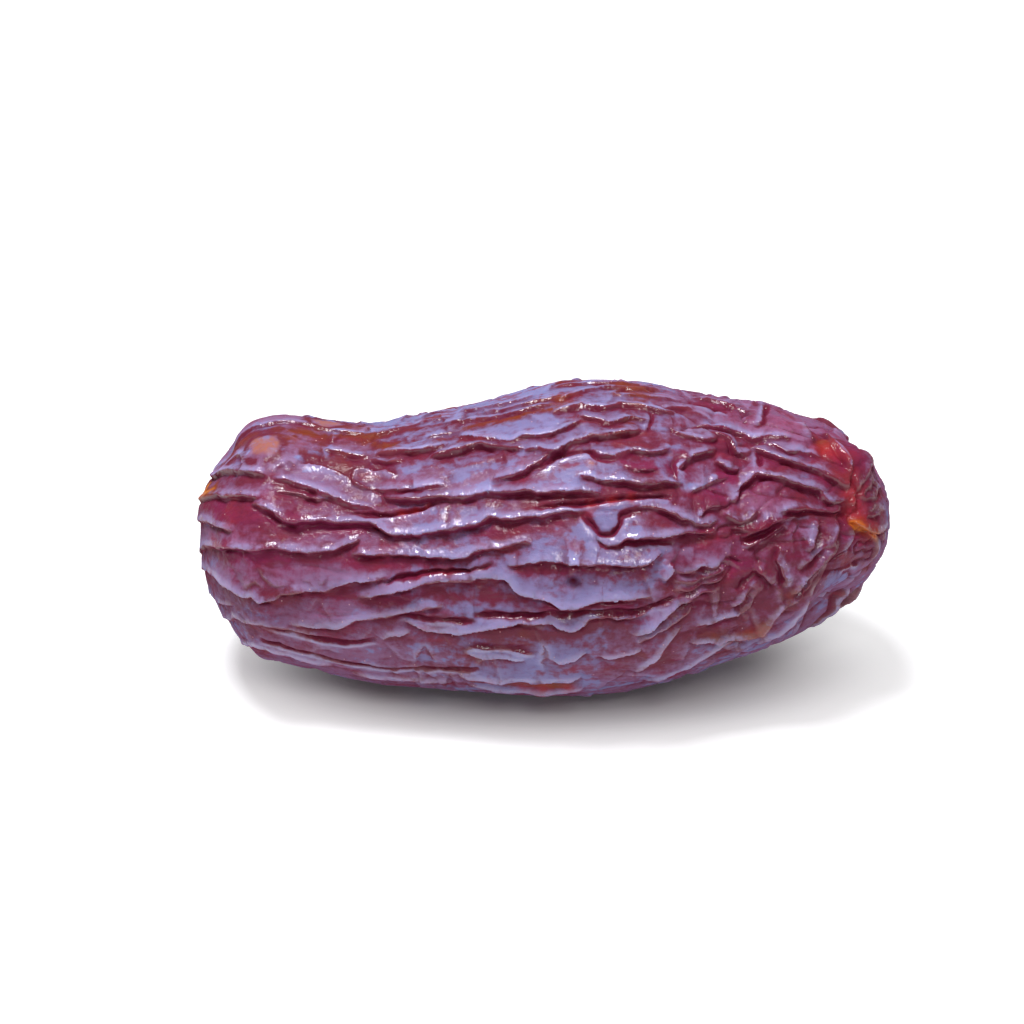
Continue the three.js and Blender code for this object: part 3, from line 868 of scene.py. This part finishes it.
def dateSkin():
    material = bpy.data.materials.new("date_skin_bloomed")
    material.use_nodes = True
    tree = material.node_tree
    shader = tree.nodes["Principled BSDF"]
    look = dateLook
    painted = {name: addNode(tree, "Attribute", attribute_name=name).outputs["Fac"] for name in paint}
    coords = addNode(tree, "TexCoord").outputs["Object"]
    inMm = addNode(tree, "Mapping", {"Vector": coords, "Scale": (1 / mm,) * 3})

    # uneven colour: patches of a few mm, streaks along the fruit, grain under half a mm, and finer
    pleated = addNode(tree, "Mapping", {"Vector": inMm, "Scale": look["pleated"]})
    drawnOut = addNode(tree, "Mapping", {"Vector": inMm, "Scale": look["drawnOut"]})
    noises = {}
    for name, places, detail in (("patch", inMm, 3.0), ("grain", inMm, 4.0), ("pleat", pleated, 2.0),
                                 ("streak", drawnOut, 3.0), ("wrinkle", drawnOut, 3.0)):
        scale = 1 / look[name + "Size"]
        noises[name] = addNode(tree, "TexNoise", {"Vector": places, "Scale": scale, "Detail": detail})
    patchShift, grainShift, streakShift = (
        addNode(tree, "Math", (noises[name], 0.5), operation="SUBTRACT")
        for name in ("patch", "grain", "streak")
    )

    # how far the bloom is gone: on the bare flanks and here and there elsewhere; more in the painted shade
    # beyond each fold, less in the painted highlight before each crest
    gone = painted["bare"]
    for part, share in ((painted["shade"], 0.5), (painted["worn"], 0.6), (grainShift, 1.0),
                        (streakShift, 1.1), (patchShift, 0.6), (painted["rim"], -0.35)):
        gone = addNode(tree, "Math", (part, share, gone), operation="MULTIPLY_ADD")
    rubbed = addNode(tree, "MapRange", (gone, 0.0, 0.75), **soft)

    # the bloom itself
    rosy = painted["tint"]
    for part, share in ((patchShift, 2.2), (streakShift, 2.2), (grainShift, 1.2)):
        rosy = addNode(tree, "Math", (part, share, rosy), operation="MULTIPLY_ADD")
    warmer = addNode(tree, "MapRange", (rosy, 0.0, 0.9), **soft)
    # bluish bloom, partly a painted sheen of the light
    coolerAndSheen = addNode(tree, "MapRange", (rosy, -0.20, -0.60), **soft)
    # painted highlight: the bloom lightens towards each crest
    edge = addNode(tree, "Math", (painted["rim"], 0.9), operation="MULTIPLY")
    # painted shade: darker plum beyond each fold
    low = addNode(tree, "Math", (painted["shade"], 0.75), operation="MULTIPLY")
    bloom = look["bloom"]
    for share, over in ((warmer, "bloomWarm"), (coolerAndSheen, "bloomCoolAndSheen"), (edge, "rim"), (low, "shadePlum")):
        bloom = addNode(tree, "Mix", (share, bloom, look[over]), data_type="RGBA")

    # the flesh under it
    toned = addNode(tree, "Math", (patchShift, 0.9, painted["tone"]), operation="MULTIPLY_ADD")
    flesh = look["crimson"]
    for first, last, over in ((0.0, 0.5, "mahogany"), (0.5, 0.85, "copper"), (0.85, 1.15, "amber")):
        share = addNode(tree, "MapRange", (toned, first, last), **soft)
        flesh = addNode(tree, "Mix", (share, flesh, look[over]), data_type="RGBA")

    # pinches darkened with painted shade, light coming through, cork and dust over both
    through = addNode(tree, "Math", (streakShift, 1.2, painted["thin"]), operation="MULTIPLY_ADD")
    through = addNode(tree, "MapRange", (through, 0.1, 1.0))
    mottled = addNode(tree, "Math", (grainShift, 2.0, 0.85), operation="MULTIPLY_ADD")
    corky = addNode(tree, "Math", (painted["tan"], mottled), operation="MULTIPLY", use_clamp=True)
    dots = addNode(tree, "TexVoronoi", {"Vector": inMm, "Scale": 1 / look["speckSpacing"]})
    chosen = addNode(tree, "SeparateColor", (dots.outputs["Color"],))
    isDust = addNode(tree, "Math", (chosen, 0.5), operation="GREATER_THAN")
    dotted = addNode(tree, "MapRange", (dots.outputs["Distance"], 0.10, 0.05), **soft)
    dust = addNode(tree, "Math", (dotted, isDust), operation="MULTIPLY")
    dust = addNode(tree, "Math", (dust, 0.6), operation="MULTIPLY")
    colour = addNode(tree, "Mix", (rubbed, bloom, flesh), data_type="RGBA")
    for share, over in ((painted["deep"], "pinch"), (through, "lit"), (corky, "cork"), (dust, "dust")):
        colour = addNode(tree, "Mix", (share, colour, look[over]), data_type="RGBA")
    tree.links.new(colour.outputs[2], shader.inputs["Base Color"])

    smooth = addNode(tree, "MapRange", (rubbed, 0.0, 1.0, look["bloomRoughness"], look["bareRoughness"]))
    gloss = addNode(tree, "MapRange", (painted["crest"], 0.15, 0.55, 0.05, 1.0))
    gloss = addNode(tree, "Math", (rubbed, 0.12, gloss), operation="MULTIPLY_ADD", use_clamp=True)
    gloss = addNode(tree, "Mix", (painted["deep"], gloss, 0.0))
    facing = addNode(tree, "LayerWeight", {"Blend": 0.5}).outputs["Facing"]
    turned = addNode(tree, "MapRange", (facing, 0.45, 0.8))
    gloss = addNode(tree, "Mix", (turned, gloss, 0.0))
    smooth = addNode(tree, "Mix", (turned, smooth, 0.95))
    tree.links.new(gloss.outputs[0], shader.inputs["Coat Weight"])
    rough = addNode(tree, "Math", (grainShift, 0.12, smooth), operation="MULTIPLY_ADD")
    tree.links.new(rough.outputs[0], shader.inputs["Roughness"])
    rest = addNode(tree, "Math", (noises["wrinkle"], 1.3, noises["grain"]), operation="MULTIPLY_ADD")
    height = addNode(tree, "Mix", (painted["crest"], rest, noises["pleat"]))
    bump = addNode(tree, "Bump", {"Height": height, "Strength": look["pleatStrength"],
                                  "Distance": look["pleatDepth"] * mm})
    tree.links.new(bump.outputs[0], shader.inputs["Normal"])
    tree.links.new(bump.outputs[0], shader.inputs["Coat Normal"])
    for name, value in look["allOver"].items():
        shader.inputs[name].default_value = value
    return material


date.data.materials.clear()
date.data.materials.append(dateSkin())


# Metres and degrees.
stage = {
    "floorSize": 3.0,
    "board": "#dcdcdc",
    "boardGlow": (0.02, 0.55),  # near the fruit and far from it
    "glowFrom": (0.0055, 0.0108),  # across the fruit
    "glowStretch": (0.4, 1, 1),  # along the fruit it reaches 2.5 times as far
    "lens": 100,
    "elevation": 30,
    "distance": 0.2047,
    "target": (-0.00227, 0.00015, 0.01316),
    "surroundings": 0.25,  # strength of the light from all round
    "air": "#fbfbff",
}


def whiteBoard():
    # matt white board; for the camera and in reflections it also glows, faintly near the fruit and fully
    # farther off, a painted light that keeps it white and cuts the shadow short
    material = bpy.data.materials.new("matt_white_board")
    material.use_nodes = True
    tree = material.node_tree
    shader = tree.nodes["Principled BSDF"]
    shader.inputs["Base Color"].default_value = linear(stage["board"])
    shader.inputs["Roughness"].default_value = 0.9
    ray = addNode(tree, "LightPath")
    seen = addNode(tree, "Math", (ray.outputs["Is Camera Ray"], ray.outputs["Is Glossy Ray"]))
    seen = addNode(tree, "Math", (seen, ray.outputs["Is Transmission Ray"]), use_clamp=True)
    coords = addNode(tree, "TexCoord").outputs["Object"]
    squeezed = addNode(tree, "VectorMath", (coords, stage["glowStretch"]), operation="MULTIPLY")
    away = addNode(tree, "VectorMath", (squeezed,), operation="LENGTH")
    across = (away.outputs["Value"], *stage["glowFrom"], *stage["boardGlow"])
    # painted light: the glow grows away from the fruit, so the board's shadow shows only close to it
    far = addNode(tree, "MapRange", across, **soft)
    glow = addNode(tree, "Math", (seen, far), operation="MULTIPLY")
    white = addNode(tree, "Emission", ("#ffffff", glow))
    whole = addNode(tree, "AddShader", (shader.outputs[0], white))
    tree.links.new(whole.outputs[0], tree.nodes["Material Output"].inputs[0])
    return material


def paleFloor():
    bm = bmesh.new()
    bmesh.ops.create_grid(bm, x_segments=1, y_segments=1, size=stage["floorSize"] / 2)
    floorMesh = bpy.data.meshes.new("floor")
    bm.to_mesh(floorMesh)
    bm.free()
    floor = bpy.data.objects.new("floor", floorMesh)
    bpy.context.collection.objects.link(floor)
    floorMesh.materials.append(whiteBoard())


def aim(thing, place, target):
    thing.location = place
    thing.rotation_euler = (Vector(target) - Vector(place)).to_track_quat("-Z", "Y").to_euler()


# Soft boxes: one above for the shape and the short shadow, a faint one before the fruit.
lamps = {
    "key": {"place": (-0.07, -0.02, 0.37), "size": 0.10, "power": 1.27, "colour": "#fafbff"},
    "fill": {"place": (0.03, -0.22, 0.24), "size": 0.09, "power": 0.26, "colour": "#fffdfb"},
}


def addLamp(name, values):
    light = bpy.data.lights.new(name, "AREA")
    light.shape = "SQUARE"
    light.size = values["size"]
    light.energy = values["power"]
    light.color = linear(values["colour"])[:3]
    lamp = bpy.data.objects.new(name, light)
    bpy.context.collection.objects.link(lamp)
    aim(lamp, values["place"], (0, 0, 0.01))


def addCamera():
    data = bpy.data.cameras.new("camera")
    data.lens = stage["lens"]
    data.sensor_width = 36
    camera = bpy.data.objects.new("camera", data)
    bpy.context.collection.objects.link(camera)
    tilt = math.radians(stage["elevation"])
    target = Vector(stage["target"])
    place = target + Vector((0, -math.cos(tilt), math.sin(tilt))) * stage["distance"]
    aim(camera, place, target)
    data.clip_start = 0.01
    bpy.context.scene.camera = camera


paleFloor()
for name, values in lamps.items():
    addLamp(name, values)
addCamera()
print("floor, lamps and camera set up")

world = bpy.data.worlds.new("studio")
world.use_nodes = True
background = world.node_tree.nodes["Background"]
background.inputs["Color"].default_value = linear(stage["air"])
background.inputs["Strength"].default_value = stage["surroundings"]
bpy.context.scene.world = world
bpy.context.scene.view_settings.view_transform = "Standard"
